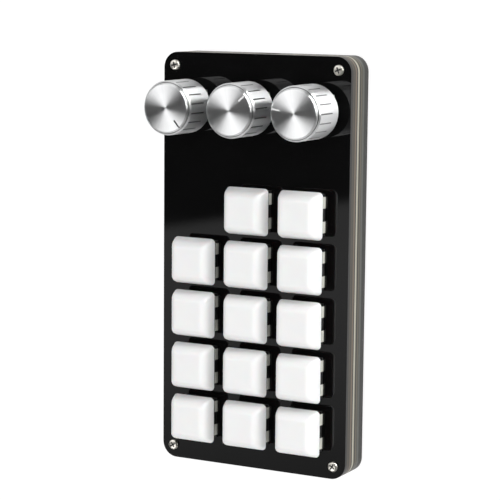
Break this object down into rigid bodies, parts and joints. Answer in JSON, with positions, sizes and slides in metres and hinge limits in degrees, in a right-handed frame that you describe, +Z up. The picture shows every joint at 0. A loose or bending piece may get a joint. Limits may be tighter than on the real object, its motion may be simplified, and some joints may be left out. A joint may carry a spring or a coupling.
{
  "type": "macro keypad",
  "caption": "Flat desk keypad with a grid of blank low square push keys on a layered frame and a row of fluted knobs that turn and press.",
  "frame": {"origin": "centre of the box around the keypad at rest, in the plane that its feet stand on", "axes": "+Z up out of the front plate, +Y from the keys towards the knobs, +X to the right seen from above"},
  "size_m": [0.08, 0.16, 0.038],
  "materials": {
    "plate": "gloss black sheet",
    "spacer": "smoked clear sheet with sawn edges",
    "board": "bare edge of a circuit board",
    "keycap": "satin white",
    "switch": "satin",
    "knob": "turned, satin anodised",
    "shaft": "satin",
    "screw": "nickel plated",
    "brass": "turned",
    "rubber": "matt",
    "chip": "matt"
  },
  "bodies": {
    "base": {"back_plate": "plate", "circuit_board": "board", "controller_chip": "chip", "encoder_brackets": "shaft", "encoder_cases": "switch", "encoder_domes": "screw", "front_plate": "plate", "front_screws": "screw", "lower_spacer": "spacer", "rubber_feet": "rubber", "standoffs": "brass", "switch_lower_housings": "switch", "switch_pins": "brass", "switch_springs": "screw", "switch_upper_housings": "switch", "upper_spacer": "spacer", "usb_socket": "screw"},
    "key_row1_col2": {"slider_row1_col2": "switch", "keycap_row1_col2": "keycap"},
    "key_row1_col3": {"slider_row1_col3": "switch", "keycap_row1_col3": "keycap"},
    "key_row2_col1": {"slider_row2_col1": "switch", "keycap_row2_col1": "keycap"},
    "key_row2_col2": {"slider_row2_col2": "switch", "keycap_row2_col2": "keycap"},
    "key_row2_col3": {"slider_row2_col3": "switch", "keycap_row2_col3": "keycap"},
    "key_row3_col1": {"slider_row3_col1": "switch", "keycap_row3_col1": "keycap"},
    "key_row3_col2": {"slider_row3_col2": "switch", "keycap_row3_col2": "keycap"},
    "key_row3_col3": {"slider_row3_col3": "switch", "keycap_row3_col3": "keycap"},
    "key_row4_col1": {"slider_row4_col1": "switch", "keycap_row4_col1": "keycap"},
    "key_row4_col2": {"slider_row4_col2": "switch", "keycap_row4_col2": "keycap"},
    "key_row4_col3": {"slider_row4_col3": "switch", "keycap_row4_col3": "keycap"},
    "key_row5_col1": {"slider_row5_col1": "switch", "keycap_row5_col1": "keycap"},
    "key_row5_col2": {"slider_row5_col2": "switch", "keycap_row5_col2": "keycap"},
    "key_row5_col3": {"slider_row5_col3": "switch", "keycap_row5_col3": "keycap"},
    "left_turning": {"left_rotor": "switch"},
    "left_pressing": {"left_shaft": "shaft", "left_knob": "knob"},
    "middle_turning": {"middle_rotor": "switch"},
    "middle_pressing": {"middle_shaft": "shaft", "middle_knob": "knob"},
    "right_turning": {"right_rotor": "switch"},
    "right_pressing": {"right_shaft": "shaft", "right_knob": "knob"}
  },
  "joints": [
    {"name": "press_row1_col2", "type": "slide", "parent": "base", "child": "key_row1_col2", "axis": [0, 0, -1], "range_m": [0, 0.004], "stiffness_N_per_m": 60, "springref_m": -0.008, "deforming": ["switch_springs"]},
    {"name": "press_row1_col3", "type": "slide", "parent": "base", "child": "key_row1_col3", "axis": [0, 0, -1], "range_m": [0, 0.004], "stiffness_N_per_m": 60, "springref_m": -0.008, "deforming": ["switch_springs"]},
    {"name": "press_row2_col1", "type": "slide", "parent": "base", "child": "key_row2_col1", "axis": [0, 0, -1], "range_m": [0, 0.004], "stiffness_N_per_m": 60, "springref_m": -0.008, "deforming": ["switch_springs"]},
    {"name": "press_row2_col2", "type": "slide", "parent": "base", "child": "key_row2_col2", "axis": [0, 0, -1], "range_m": [0, 0.004], "stiffness_N_per_m": 60, "springref_m": -0.008, "deforming": ["switch_springs"]},
    {"name": "press_row2_col3", "type": "slide", "parent": "base", "child": "key_row2_col3", "axis": [0, 0, -1], "range_m": [0, 0.004], "stiffness_N_per_m": 60, "springref_m": -0.008, "deforming": ["switch_springs"]},
    {"name": "press_row3_col1", "type": "slide", "parent": "base", "child": "key_row3_col1", "axis": [0, 0, -1], "range_m": [0, 0.004], "stiffness_N_per_m": 60, "springref_m": -0.008, "deforming": ["switch_springs"]},
    {"name": "press_row3_col2", "type": "slide", "parent": "base", "child": "key_row3_col2", "axis": [0, 0, -1], "range_m": [0, 0.004], "stiffness_N_per_m": 60, "springref_m": -0.008, "deforming": ["switch_springs"]},
    {"name": "press_row3_col3", "type": "slide", "parent": "base", "child": "key_row3_col3", "axis": [0, 0, -1], "range_m": [0, 0.004], "stiffness_N_per_m": 60, "springref_m": -0.008, "deforming": ["switch_springs"]},
    {"name": "press_row4_col1", "type": "slide", "parent": "base", "child": "key_row4_col1", "axis": [0, 0, -1], "range_m": [0, 0.004], "stiffness_N_per_m": 60, "springref_m": -0.008, "deforming": ["switch_springs"]},
    {"name": "press_row4_col2", "type": "slide", "parent": "base", "child": "key_row4_col2", "axis": [0, 0, -1], "range_m": [0, 0.004], "stiffness_N_per_m": 60, "springref_m": -0.008, "deforming": ["switch_springs"]},
    {"name": "press_row4_col3", "type": "slide", "parent": "base", "child": "key_row4_col3", "axis": [0, 0, -1], "range_m": [0, 0.004], "stiffness_N_per_m": 60, "springref_m": -0.008, "deforming": ["switch_springs"]},
    {"name": "press_row5_col1", "type": "slide", "parent": "base", "child": "key_row5_col1", "axis": [0, 0, -1], "range_m": [0, 0.004], "stiffness_N_per_m": 60, "springref_m": -0.008, "deforming": ["switch_springs"]},
    {"name": "press_row5_col2", "type": "slide", "parent": "base", "child": "key_row5_col2", "axis": [0, 0, -1], "range_m": [0, 0.004], "stiffness_N_per_m": 60, "springref_m": -0.008, "deforming": ["switch_springs"]},
    {"name": "press_row5_col3", "type": "slide", "parent": "base", "child": "key_row5_col3", "axis": [0, 0, -1], "range_m": [0, 0.004], "stiffness_N_per_m": 60, "springref_m": -0.008, "deforming": ["switch_springs"]},
    {"name": "left_turn", "type": "hinge", "parent": "base", "child": "left_turning", "pos_m": [-0.027, 0.0597, 0.0145], "axis": [0, 0, 1], "continuous": true},
    {"name": "left_press", "type": "slide", "parent": "left_turning", "child": "left_pressing", "axis": [0, 0, -1], "range_m": [0, 0.0005], "stiffness_N_per_m": 2000, "springref_m": -0.001, "deforming": ["encoder_domes"]},
    {"name": "middle_turn", "type": "hinge", "parent": "base", "child": "middle_turning", "pos_m": [0, 0.0597, 0.0145], "axis": [0, 0, 1], "continuous": true},
    {"name": "middle_press", "type": "slide", "parent": "middle_turning", "child": "middle_pressing", "axis": [0, 0, -1], "range_m": [0, 0.0005], "stiffness_N_per_m": 2000, "springref_m": -0.001, "deforming": ["encoder_domes"]},
    {"name": "right_turn", "type": "hinge", "parent": "base", "child": "right_turning", "pos_m": [0.027, 0.0597, 0.0145], "axis": [0, 0, 1], "continuous": true},
    {"name": "right_press", "type": "slide", "parent": "right_turning", "child": "right_pressing", "axis": [0, 0, -1], "range_m": [0, 0.0005], "stiffness_N_per_m": 2000, "springref_m": -0.001, "deforming": ["encoder_domes"]}
  ]
}
